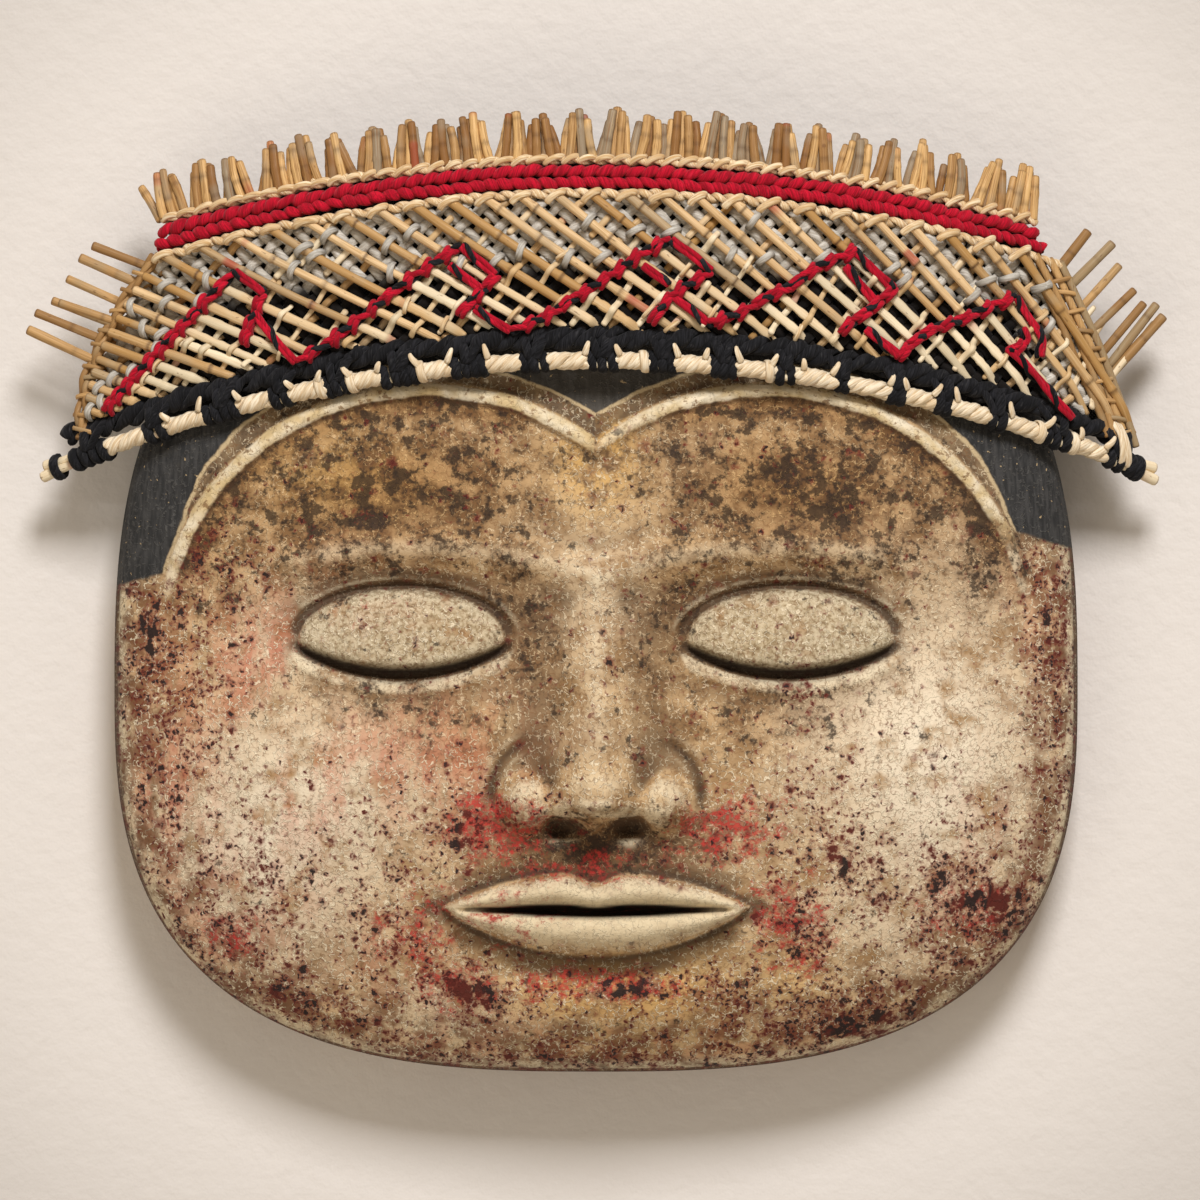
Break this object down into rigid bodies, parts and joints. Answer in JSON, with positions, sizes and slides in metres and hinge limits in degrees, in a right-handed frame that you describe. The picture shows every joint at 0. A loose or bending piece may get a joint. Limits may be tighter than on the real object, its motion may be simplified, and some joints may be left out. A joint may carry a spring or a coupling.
{
  "type": "funerary mask",
  "caption": "Broad carved and painted wooden face mask with closed eyes and a hollow back, under a basketry crown of split reed and twined cord.",
  "frame": {"origin": "centre of the base of the object's bounding box, on the table the mask lies on", "axes": "+Z the way the face looks, +Y up the face towards the crown, +X to the right of someone looking at the face"},
  "size_m": [0.3444, 0.2914, 0.0787],
  "materials": {
    "painted_wood": "worn matt earth paint over carved wood, with a black hair field",
    "reed": "split and whole reed, satin",
    "cream_cord": "pale twisted plant fibre",
    "red_cord": "dyed red wool yarn",
    "black_cord": "dyed black wool yarn",
    "grey_weave": "grey yarn and reed weave"
  },
  "bodies": {
    "root": {"mask_face": "painted_wood", "crown_panel": "grey_weave", "reed_lattice": "reed", "zigzag_cord": "red_cord", "cream_row_top": "cream_cord", "red_row_upper": "red_cord", "red_row_lower": "red_cord", "rim_cord_upper": "black_cord", "rim_cord_lower": "black_cord", "left_reed_ends": "reed", "right_reed_ends": "reed", "reed_bunch_01": "reed", "reed_bunch_02": "reed", "reed_bunch_03": "reed", "reed_bunch_04": "reed", "reed_bunch_05": "reed", "reed_bunch_06": "reed", "reed_bunch_07": "reed", "reed_bunch_08": "reed", "reed_bunch_09": "reed", "reed_bunch_10": "reed", "reed_bunch_11": "reed", "reed_bunch_12": "reed", "reed_bunch_13": "reed", "reed_bunch_14": "reed", "reed_bunch_15": "reed", "reed_bunch_16": "reed", "reed_bunch_17": "reed", "reed_bunch_18": "reed", "reed_bunch_19": "reed", "reed_bunch_20": "reed", "reed_bunch_21": "reed", "reed_bunch_22": "reed", "reed_bunch_23": "reed", "reed_bunch_24": "reed", "reed_bunch_25": "reed", "reed_bunch_26": "reed"}
  },
  "joints": []
}
